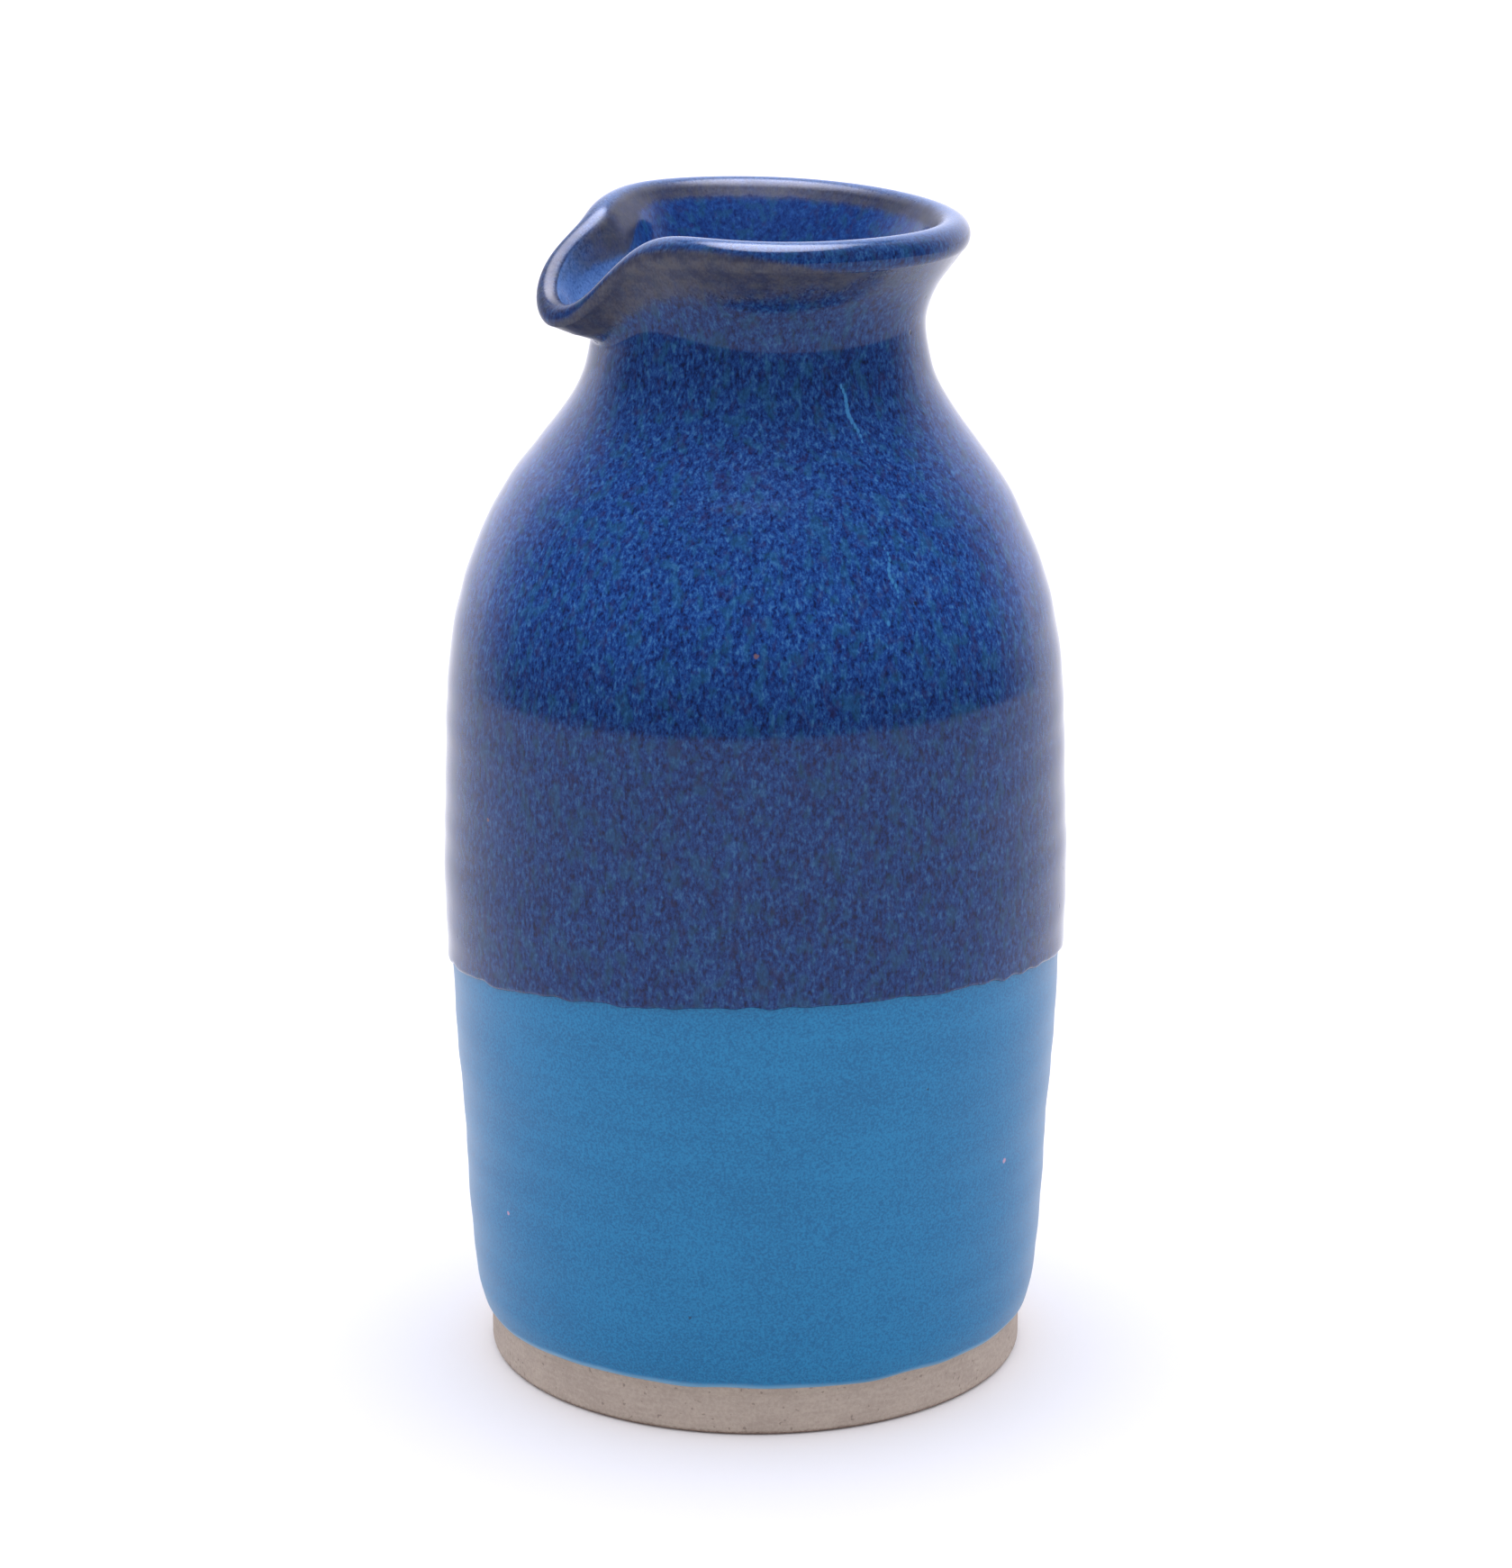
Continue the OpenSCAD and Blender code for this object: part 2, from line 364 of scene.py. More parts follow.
    def pulled(self, section: np.ndarray, turn: np.ndarray) -> np.ndarray:
        """Pulls the spout and waves the rim.

        Args:
            section: Points of radius and height, one row of them for each turn.
            turn: Turns as a column.

        Returns:
            The moved points.
        """
        turn = wrapped(turn)
        radius, height = section[..., 0], section[..., 1]
        share = np.clip((height - self.pull_height) / (self.roll_bottom - self.pull_height), 0, 1)
        spread, behind = self.pinch_spread, 1.5 * self.pinch_angle
        pinch = bump(turn - self.pinch_angle, spread) + bump(turn + self.pinch_angle, spread)
        raised = bump(turn - behind, spread) + bump(turn + behind, spread)
        out = (
            self.lip_reach * bump(turn - self.lip_reach_lean, self.lip_reach_angle)
            - self.pinch_depth * pinch
            - self.tuck_depth * bump(turn + self.tuck_angle, self.tuck_spread)
        )
        up = (
            self.pinch_rise * raised
            - self.rim_wave * np.cos(np.radians(2 * turn))
            - self.lip_drop * bump(turn - self.lip_lean, self.lip_drop_angle)
        )
        on_roll = np.clip((height - self.flare_end) / (self.roll_bottom - self.flare_end), 0, 1)
        thinning = on_roll * self.lip_thinning * bump(turn, self.lip_thinning_angle)
        radius = radius - thinning * (radius - self.rim_radius) + share**1.6 * out
        height = height - thinning * (height - self.rim_height) + share * up
        return pairs(radius, height)

    def throwing(self, z: np.ndarray, turn: np.ndarray) -> np.ndarray:
        """Faint spiral rings that the fingers leave in the wall, mostly inwards.

        Args:
            z: Heights.
            turn: Turns, in degrees.

        Returns:
            The change of radius.
        """
        rings = sum(
            weight * np.sin(2 * math.pi * (z / pitch - turn / 360) + phase)
            for pitch, weight, phase in self.rings
        )
        wobble = sum(0.5 * np.cos(np.radians(waves * turn) + z / twist) for waves, twist in self.wobbles)
        held = ease(z, self.foot_line, self.rings_start) * (1 - ease(z, self.rings_fade, self.crown))
        return self.ring_depth * (rings + wobble - self.ring_sink) * held

    def swayed(self, points: np.ndarray) -> np.ndarray:
        """Lets the neck stand a little back from the spout, between the shoulder and the rim.

        Args:
            points: Places in space, in drawn millimetres.

        Returns:
            The moved places.
        """
        z = points[..., 2]
        share = ease(z, *self.sway_rise) * (1 - ease(z, *self.sway_fall))
        return points + np.stack([self.neck_sway * share, 0 * z, 0 * z], -1)


def moved_out(path: np.ndarray, distance: np.ndarray) -> np.ndarray:
    """Moves each point of a section square to it.

    Args:
        path: Points of radius and height along the last axis but one.
        distance: How far each point moves.

    Returns:
        The moved points.
    """
    run = np.gradient(path, axis=-2)
    square = pairs(run[..., 1], -run[..., 0])
    return path + distance[..., None] * square / np.linalg.norm(square, axis=-1, keepdims=True)


@dataclass
class Turning:
    """A closed mesh turned from one section in each direction round the pot.

    Attributes:
        name: Name of the piece.
        turns: The directions, in degrees from the spout.
        section: Radius and height of each point, one row for each direction.
        closes: True if each section is a loop, and False if both its ends lie on the axis.
        marks: Numbers that go with the points, for the finish to read.
    """

    name: str
    turns: np.ndarray
    section: np.ndarray
    closes: bool
    marks: dict[str, np.ndarray] = field(default_factory=dict)

    def points(self, form: ThrownForm) -> np.ndarray:
        """Puts the section's points in space.

        Args:
            form: The pot's shape.

        Returns:
            Their places, in metres.
        """
        angle = np.radians(self.turns)[:, None]
        radius, height = self.section[..., 0], self.section[..., 1]
        upright = np.stack([-radius * np.cos(angle), -radius * np.sin(angle), height], -1)
        return form.swayed(upright) * form.unit

    def faces(self) -> list[tuple[int, ...]]:
        """Joins the points to faces, which look outwards where the section runs against the clock.

        Returns:
            The corners of each face.
        """
        columns, rows = self.section.shape[:2]
        c, i = np.meshgrid(np.arange(columns), np.arange(rows if self.closes else rows - 1), indexing="ij")
        d, j = (c + 1) % columns, (i + 1) % rows
        quads = np.stack([c * rows + i, d * rows + i, d * rows + j, c * rows + j], -1).reshape(-1, 4)
        return quads.tolist()

    def build(self, form: ThrownForm) -> bpy.types.Object:
        """Makes the mesh object.

        Args:
            form: The pot's shape.

        Returns:
            The new object, smooth shaded, in the scene.
        """
        points = self.points(form)
        columns, rows = points.shape[:2]
        vertices, faces = points.reshape(-1, 3), self.faces()
        marks = {key: values.reshape(-1) for key, values in self.marks.items()}
        if not self.closes:
            ends = points[:, [0, -1]].mean(0)
            first, last = columns * rows, columns * rows + 1
            vertices = np.concatenate([vertices, ends])
            ring = [(c * rows, (c + 1) % columns * rows) for c in range(columns)]
            faces += [(b, a, first) for a, b in ring]
            faces += [(a + rows - 1, b + rows - 1, last) for a, b in ring]
            marks = {key: np.append(values, [values[0], values[rows - 1]]) for key, values in marks.items()}
        piece = new_object(self.name, vertices.tolist(), faces)
        for key, values in marks.items():
            attribute = piece.data.attributes.new(key, "FLOAT", "POINT")
            attribute.data.foreach_set("value", values.astype(np.float32))
        piece.data.validate()
        piece.data.shade_smooth()
        LOG.info("%s: %d faces", self.name, len(piece.data.polygons))
        return piece


# ---------------------------------------------------------------------------------------------
# Shader building


class Value:
    """A number in a node tree, on which sums can be written."""

    def __init__(self, paint: "Paint", socket: bpy.types.NodeSocket) -> None:
        """Wraps the socket that gives the number."""
        self.paint, self.socket = paint, socket

    def maths(self, operation: str, *parts: "Value | float", clamp: bool = False) -> "Value":
        """Adds a Math node.

        Args:
            operation: The node's operation.
            parts: Its inputs.
            clamp: True to hold the result between 0 and 1.

        Returns:
            The result.
        """
        made = self.paint.node(
            "ShaderNodeMath", {"operation": operation, "use_clamp": clamp}, dict(enumerate(parts))
        )
        return Value(self.paint, made.outputs[0])

    def __add__(self, other: "Value | float") -> "Value":
        """self + other."""
        return self.maths("ADD", self, other)

    __radd__ = __add__

    def __sub__(self, other: "Value | float") -> "Value":
        """self - other."""
        return self.maths("SUBTRACT", self, other)

    def __rsub__(self, other: "Value | float") -> "Value":
        """other - self."""
        return self.maths("SUBTRACT", other, self)

    def __mul__(self, other: "Value | float") -> "Value":
        """self * other."""
        return self.maths("MULTIPLY", self, other)

    __rmul__ = __mul__

    def __truediv__(self, other: "Value | float") -> "Value":
        """self / other."""
        return self.maths("DIVIDE", self, other)

    def __rtruediv__(self, other: "Value | float") -> "Value":
        """other / self."""
        return self.maths("DIVIDE", other, self)

    def larger(self, other: "Value | float") -> "Value":
        """The larger of two numbers."""
        return self.maths("MAXIMUM", self, other)

    def held(self) -> "Value":
        """The number held between 0 and 1."""
        return self.maths("ADD", self, 0.0, clamp=True)

    def rise(self, low: float, high: float) -> "Value":
        """Smooth step from 0 at low to 1 at high."""
        made = self.paint.node(
            "ShaderNodeMapRange", {"interpolation_type": "SMOOTHSTEP"}, {0: self, 1: low, 2: high}
        )
        return Value(self.paint, made.outputs[0])


Feed = Value | bpy.types.NodeSocket | float | tuple


class Paint:
    """Adds nodes to one node tree."""

    def __init__(self, tree: bpy.types.NodeTree) -> None:
        """Empties the tree and keeps it."""
        self.tree = tree
        tree.nodes.clear()

    def node(self, kind: str, settings: dict | None = None, feeds: dict | None = None) -> bpy.types.Node:
        """Adds a node.

        Args:
            kind: The node's type.
            settings: Its properties, set first. "stops" gives a colour ramp's stops.
            feeds: Values or links of its inputs, by name or number.

        Returns:
            The node.
        """
        made = self.tree.nodes.new(kind)
        for key, value in (settings or {}).items():
            if key == "stops":
                self.set_stops(made.color_ramp, value)
            else:
                setattr(made, key, value)
        for key, value in (feeds or {}).items():
            self.feed(made.inputs[key], value)
        return made

    @staticmethod
    def set_stops(ramp: bpy.types.ColorRamp, stops: tuple[tuple[float, Colour], ...]) -> None:
        """Gives a colour ramp its stops.

        Args:
            ramp: The ramp.
            stops: Place and colour of each stop.
        """
        while len(ramp.elements) < len(stops):
            ramp.elements.new(1.0)
        for element, (place, colour) in zip(ramp.elements, stops):
            element.position = place
            element.color = (*colour, 1.0)

    def feed(self, socket: bpy.types.NodeSocket, value: Feed) -> None:
        """Gives an input its value or its link.

        Args:
            socket: The input.
            value: What feeds it.
        """
        if isinstance(value, Value):
            self.tree.links.new(value.socket, socket)
        elif isinstance(value, bpy.types.NodeSocket):
            self.tree.links.new(value, socket)
        elif isinstance(value, tuple) and socket.type == "RGBA":
            socket.default_value = (*value, 1.0)
        else:
            socket.default_value = value

    def mark(self, name: str) -> Value:
        """A number that the mesh carries at its points."""
        return Value(self, self.node("ShaderNodeAttribute", {"attribute_name": name}).outputs["Fac"])

    def place(self, unit: float) -> bpy.types.NodeSocket:
        """Place on the object, in drawn millimetres."""
        here = self.node("ShaderNodeTexCoord").outputs["Object"]
        return self.stretched(here, (1 / unit,) * 3)

    def stretched(self, vector: bpy.types.NodeSocket, by: tuple[float, float, float]) -> bpy.types.NodeSocket:
        """A vector with each of its parts multiplied."""
        made = self.node("ShaderNodeVectorMath", {"operation": "MULTIPLY"}, {0: vector, 1: by})
        return made.outputs[0]

    def noise(self, place: bpy.types.NodeSocket, grain: float, detail: float = 2.0, rough: float = 0.5,
              twist: float = 0.0) -> Value:
        """Noise with a grain of a given size.

        Args:
            place: Place to read the noise at, in millimetres.
            grain: Size of its largest lumps, in millimetres.
            detail: Number of finer layers.
            rough: Weight of the finer layers.
            twist: How far the noise bends itself.

        Returns:
            A number around 0.5.
        """
        made = self.node(
            "ShaderNodeTexNoise",
            {"noise_dimensions": "3D"},
            {"Vector": place, "Scale": 1 / grain, "Detail": detail, "Roughness": rough, "Distortion": twist},
        )
        return Value(self, made.outputs[0])

    def mixed(self, share: Feed, first: Feed, second: Feed, how: str = "MIX") -> bpy.types.NodeSocket:
        """Mixes two colours."""
        settings = {"data_type": "RGBA", "blend_type": how}
        return self.node("ShaderNodeMix", settings, {0: share, 6: first, 7: second}).outputs[2]

    def ramp(self, value: Value, stops: tuple[tuple[float, Colour], ...]) -> bpy.types.NodeSocket:
        """A colour for a number."""
        return self.node("ShaderNodeValToRGB", {"stops": stops}, {0: value}).outputs[0]

    def grey(self, value: Value) -> bpy.types.NodeSocket:
        """A number as a grey colour."""
        return self.node("ShaderNodeCombineXYZ", {}, {0: value, 1: value, 2: value}).outputs[0]

    def surface(self, base: Feed, roughness: Feed, specular: float, relief: tuple[float, float],
                height: Value) -> None:
        """Adds the shader with small bumps, and the output.

        Args:
            base: Colour.
            roughness: Roughness.
            specular: Strength of the reflections.
            relief: Strength of the bumps and their depth in metres.
            height: Height of the bumps.
        """
        bumps = self.node("ShaderNodeBump", {}, {
            "Strength": relief[0], "Distance": relief[1], "Height": height})
        shader = self.node("ShaderNodeBsdfPrincipled", {}, {
            "Base Color": base, "Roughness": roughness, "Specular IOR Level": specular,
            "Normal": bumps.outputs[0]})
        self.node("ShaderNodeOutputMaterial", {}, {"Surface": shader.outputs[0]})

    def spot(self, place: bpy.types.NodeSocket, centre: tuple[float, float, float], radius: float,
             ragged: Value) -> Value:
        """A small mark with a ragged edge.

        Args:
            place: Place on the object, in millimetres.
            centre: Its centre.
            radius: Its size.
            ragged: Noise that makes its edge uneven.

        Returns:
            A number that is 1 at its centre and 0 past its radius.
        """
        made = self.node("ShaderNodeVectorMath", {"operation": "DISTANCE"}, {0: place, 1: centre})
        away = Value(self, made.outputs["Value"]) / radius + (ragged - 0.5)
        return 1 - away.rise(0.55, 1.0)


@dataclass(frozen=True)
class Mark:
    """A small flaw in the glaze.

    Attributes:
        turn: Where it is round the pot, in degrees from the spout.
        height: How high it is, in millimetres.
        radius: Its size.
        length: How tall it is, as a multiple of its width.
    """

    turn: float
    height: float
    radius: float
    length: float = 1.0

    def centre(self, form: ThrownForm, coat: float) -> tuple[float, float, float]:
        """Its place on a coat over the turquoise.

        Args:
            form: The pot's shape.
            coat: Thickness of the coat.

        Returns:
            The place, in drawn millimetres.
        """
        height = np.array(self.height)
        radius = float(form.turquoise_surface(height, form.foot_line) + coat * form.level_factor(height))
        place = np.array([-radius * math.cos(math.radians(self.turn)),
                          -radius * math.sin(math.radians(self.turn)), self.height])
        return tuple(float(part) for part in form.swayed(place))


def row_of_marks(start: tuple[float, float], end: tuple[float, float], radius: float,
                 count: int) -> tuple[Mark, ...]:
    """A row of marks that run into each other.

    Args:
        start: Turn and height of the first.
        end: Turn and height of the last.
        radius: Size of the largest, in the middle.
        count: How many there are.

    Returns:
        The marks.
    """
    shares = [i / (count - 1) for i in range(count)]
    return tuple(
        Mark(start[0] + (end[0] - start[0]) * t + 0.5 * math.sin(9 * t), start[1] + (end[1] - start[1]) * t,
             radius * (0.5 + 0.5 * math.sin(math.pi * t)), 2.6)
        for t in shares
    )


def new_material(name: str) -> tuple[bpy.types.Material, Paint]:
    """Makes an empty material.

    Args:
        name: Its name.

    Returns:
        The material and the paint for it.
    """
    material = bpy.data.materials.new(name)
    material.use_nodes = True
    return material, Paint(material.node_tree)


def marks_of(paint: Paint, place: bpy.types.NodeSocket, marks: tuple[Mark, ...], form: ThrownForm,
             ragged: Value, coat: float = 0.0) -> Value:
    """All of a list of marks as one mask.

    Args:
        paint: The material's paint.
        place: Place on the object, in millimetres.
        marks: The marks.
        form: The pot's shape.
        ragged: Noise that makes their edges uneven.
        coat: Thickness of the coat that carries them, over the turquoise.

    Returns:
        A number that is 1 inside a mark.
    """
    total = None
    for mark in marks:
        squeeze = (1.0, 1.0, 1 / mark.length)
        centre = tuple(c * s for c, s in zip(mark.centre(form, coat), squeeze))
        spot = paint.spot(paint.stretched(place, squeeze), centre, mark.radius, ragged)
        total = spot if total is None else total.larger(spot)
    return total


@dataclass(frozen=True)
class ClayFinish:
    """Fired grey-buff stoneware, bare at the foot."""

    name: str = "bare_stoneware"
    light: Colour = (0.42, 0.35, 0.275)
    dark: Colour = (0.33, 0.27, 0.215)
    speck: Colour = (0.10, 0.07, 0.055)
    # Iron-toned edge colour, which also serves as painted contact shadow at the ground.
    edge_stain_and_contact_shadow: Colour = (0.13, 0.075, 0.055)
    tone_range: tuple[float, float] = (0.36, 0.64)
    roughness: float = 0.75
    specular: float = 0.3
    relief: tuple[float, float] = (0.6, 0.00012)

    def material(self, form: ThrownForm) -> bpy.types.Material:
        """Builds the material.

        Args:
            form: The pot's shape.

        Returns:
            The material.
        """
        material, paint = new_material(self.name)
        place = paint.place(form.unit)
        cloud = paint.noise(place, 6.0, 3.0)
        grain = paint.noise(place, 0.5, 3.0, 0.7)
        drag = paint.noise(paint.stretched(place, (0.15, 0.15, 1.0)), 0.5, 2.0)
        tone = (cloud * 0.25 + grain * 0.5 + drag * 0.25).rise(*self.tone_range)
        base = paint.mixed(tone, self.dark, self.light)
        specks = paint.noise(place, 0.9, 1.0).rise(0.68, 0.74)
        base = paint.mixed(specks * 0.45, base, self.speck)
        # Darker towards the ground: partly an iron stain on the edge, partly painted contact shadow where the
        # foot meets the floor.
        stain_and_contact_shadow = (1 - (paint.mark("above_ground") + (grain - 0.5) * 0.8).rise(0.15, 0.9)) * 0.8
        base = paint.mixed(stain_and_contact_shadow, base, self.edge_stain_and_contact_shadow)
        paint.surface(base, self.roughness, self.specular, self.relief, grain * 0.6 + drag * 0.4)
        return material


@dataclass(frozen=True)
class TurquoiseFinish:
    """Satin turquoise glaze, thin and paler where it stops above the foot."""

    name: str = "satin_turquoise"
    deep: Colour = (0.002, 0.104, 0.238)
    pale: Colour = (0.007, 0.172, 0.345)
    fringe: Colour = (0.16, 0.36, 0.52)
    pink: Colour = (0.45, 0.25, 0.33)
    # Painted shade: the dark inside each pinhole.
    pit_shade: Colour = (0.01, 0.03, 0.06)
    pink_marks: tuple[Mark, ...] = (Mark(133, 36.3, 0.5), Mark(20, 28, 0.4), Mark(-120, 44, 0.45))
    pits: tuple[Mark, ...] = (Mark(64, 19, 0.3), Mark(110, 52, 0.25), Mark(-40, 33, 0.3), Mark(170, 25, 0.3))
    tone_range: tuple[float, float] = (0.36, 0.64)
    roughness: float = 0.26
    specular: float = 0.33
    relief: tuple[float, float] = (0.35, 0.00006)

    def material(self, form: ThrownForm) -> bpy.types.Material:
        """Builds the material.

        Args:
            form: The pot's shape.

        Returns:
            The material.
        """
        material, paint = new_material(self.name)
        place = paint.place(form.unit)
        cloud = paint.noise(place, 14.0, 3.0, 0.55)
        band = paint.noise(paint.stretched(place, (0.12, 0.12, 1.0)), 3.2, 2.0)
        grain = paint.noise(place, 0.34, 2.0, 0.6)
        tone = (cloud * 0.12 + band * 0.12 + grain * 0.76).rise(*self.tone_range)
        base = paint.mixed(tone, self.deep, self.pale)
        above = paint.mark("above_foot") + (grain - 0.5) * 0.5 + (cloud - 0.5) * 1.2
        base = paint.mixed((1 - above.rise(0.1, 1.2)) * 0.85, base, self.fringe)
        pinks = marks_of(paint, place, self.pink_marks, form, grain)
        base = paint.mixed(pinks * 0.8, base, self.pink)
        # Pinholes: painted dark as painted shade inside each hole, as well as dented in the bumps.
        pits = marks_of(paint, place, self.pits, form, grain)
        base = paint.mixed(pits * 0.7, base, self.pit_shade)
        skin = paint.noise(place, 1.6, 2.0)
        height = skin * 0.7 + grain * 0.3 - pits * 4.0
        paint.surface(base, self.roughness + 0.10 * grain, self.specular, self.relief, height)
        return material


@dataclass(frozen=True)
class BlueFinish:
    """Glossy mottled blue glaze that breaks to olive where it runs thin over the rim."""

    name: str = "mottled_blue"
    stops: tuple[tuple[float, Colour], ...] = (
        (0.36, (0.002, 0.007, 0.036)),
        (0.46, (0.004, 0.021, 0.100)),
        (0.54, (0.008, 0.042, 0.155)),
        (0.66, (0.026, 0.098, 0.210)),
    )
    teal: Colour = (0.009, 0.064, 0.112)
    plum: Colour = (0.014, 0.014, 0.056)
    olive_dark: Colour = (0.028, 0.030, 0.052)
    olive_pale: Colour = (0.068, 0.064, 0.066)
    # Paler blue of thicker glaze, also used as painted light on the roll's top and in the spout.
    pooled_and_lit: Colour = (0.088, 0.205, 0.465)
    streak: Colour = (0.055, 0.26, 0.48)
    iron: Colour = (0.16, 0.09, 0.09)
    # Painted shade: the dark inside each pinhole.
    pit_shade: Colour = (0.006, 0.008, 0.02)
    streaks: tuple[Mark, ...] = (
        *row_of_marks((104.4, 149.8), (107.6, 142.5), 0.40, 12),
        *row_of_marks((105.2, 129.4), (105.9, 123.2), 0.32, 10),
        Mark(103, 119.9, 0.35, 1.6),
        *row_of_marks((-60, 131), (-57, 126), 0.32, 9),
    )
    irons: tuple[Mark, ...] = (Mark(76.9, 116.6, 0.45), Mark(-140, 96, 0.5), Mark(20, 88, 0.4))
    pits: tuple[Mark, ...] = (
        Mark(151.5, 71.1, 0.35), Mark(155, 76, 0.35), Mark(6, 67.5, 0.35), Mark(140, 155.2, 0.45),
        Mark(145, 160, 0.35), Mark(100, 159, 0.35), Mark(109.7, 122, 0.4), Mark(-95, 110, 0.4))
    # Where and how strongly light is painted in: a lighter shoulder that faces up to the light, and a lighter
    # inside.
    shoulder_rise: tuple[float, float] = (104, 124)
    shoulder_fall: tuple[float, float] = (136, 152)
    shoulder_painted_light: float = 0.56
    inside_painted_light: float = 0.68
    streak_strength: float = 0.5
    iron_strength: float = 0.8
    pit_strength: float = 0.85
    roughness: float = 0.09
    thin_roughness: float = 0.26
    specular: float = 0.25
    relief: tuple[float, float] = (0.3, 0.00004)

    def material(self, form: ThrownForm) -> bpy.types.Material:
        """Builds the material.

        Args:
            form: The pot's shape.

        Returns:
            The material.
        """
        material, paint = new_material(self.name)
        place = paint.place(form.unit)
        runny = paint.stretched(place, (1.0, 1.0, 0.55))
        mottle = paint.noise(runny, 0.68, 3.0, 0.62, 0.2)
        fleck = paint.noise(runny, 0.32, 2.0, 0.6)
        patch = paint.noise(runny, 1.7, 2.0)
        cloud = paint.noise(place, 14.0, 2.0)
        inside = paint.mark("inside")
        tone = 0.5 + (mottle * 0.6 + fleck * 0.4 - 0.5) * (1 - 0.45 * inside)
        base = paint.ramp(tone, self.stops)
        base = paint.mixed(patch.rise(0.50, 0.66) * 0.4, base, self.teal)
        plums = paint.noise(runny, 1.3, 2.0, 0.6).rise(0.54, 0.68)
        base = paint.mixed(plums * 0.45, base, self.plum)
        height = Value(paint, paint.node("ShaderNodeSeparateXYZ", {}, {0: place}).outputs[2])
        # Painted light: the shoulder is painted lighter where it faces up towards the light; the cloud adds
        # the glaze's own uneven tone.
        shoulder = height.rise(*self.shoulder_rise) * (1 - height.rise(*self.shoulder_fall))
        runs = paint.noise(paint.stretched(place, (1.0, 1.0, 0.12)), 0.5, 2.0, 0.6)
        tone_and_painted_light = 0.80 + 0.26 * cloud + self.shoulder_painted_light * shoulder
        # Painted light: the inside and the throat are painted lighter against the shade they lie in; the runs
        # add upright streaks of the glaze.
        tone_and_painted_light = tone_and_painted_light + inside * (self.inside_painted_light + 0.9 * (runs - 0.5))
        base = paint.mixed(1.0, base, paint.grey(tone_and_painted_light), "MULTIPLY")
        thin = (paint.mark("break") + (patch - 0.5) * 0.5 + (fleck - 0.5) * 0.3).rise(0.1, 0.95)
        smoke = paint.noise(paint.stretched(place, (0.5, 0.5, 1.0)), 1.5, 3.0)
        olive = paint.mixed((smoke * 0.6 + fleck * 0.4).rise(0.36, 0.66), self.olive_dark, self.olive_pale)
        # Pooled glaze and painted light: the roll's top is painted paler for the reflection it catches, the
        # spout's trough and lip against the shade they lie in.
        pool_and_light = (paint.mark("pool_and_light") * (0.75 + 1.6 * (fleck - 0.5))).held()
        base = paint.mixed(pool_and_light, base, self.pooled_and_lit)
        base = paint.mixed(thin * 0.85, base, olive)
        # Streaks and iron spots are the glaze's own colour; the pinholes are painted dark as painted shade
        # inside them.
        flaws = (
            (self.streaks, self.streak_strength, self.streak),
            (self.irons, self.iron_strength, self.iron),
            (self.pits, self.pit_strength, self.pit_shade),
        )
        for marks, strength, colour in flaws:
            spots = marks_of(paint, place, marks, form, fleck, form.blue_coat)
            base = paint.mixed(spots * strength, base, colour)
        skin = paint.noise(place, 1.8, 2.0)
        height = skin * 0.8 + mottle * 0.2 - spots * 8.0
        roughness = self.roughness + 0.06 * mottle + self.thin_roughness * thin + 0.10 * pool_and_light
        paint.surface(base, roughness, self.specular, self.relief, height)
        return material


# ---------------------------------------------------------------------------------------------
# Pieces


@dataclass
class Piece:
    """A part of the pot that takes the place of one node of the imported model.

    Attributes:
        node: The node it stands for.
        slot: Slot of the record that its finish comes from.
        finish: Its finish.
        form: The pot's shape.
        columns: Number of directions round the pot in which its section is worked out.
    """

    node: ClassVar[str]
    slot: ClassVar[Slot]
    finish: ClassVar[ClayFinish | TurquoiseFinish | BlueFinish]
    form: ThrownForm
    columns: int = 400

    @property
    def turns(self) -> np.ndarray:
        """Directions round the pot, in degrees from the spout."""
        return np.arange(self.columns) * 360 / self.columns - 180

    def dress(self, piece: bpy.types.Object) -> None:
        """Gives the object its finish and its place in the model.

        Args:
            piece: The object.
        """
        piece.data.materials.append(self.finish.material(self.form))
        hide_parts(self.node)
        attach(piece, "root")


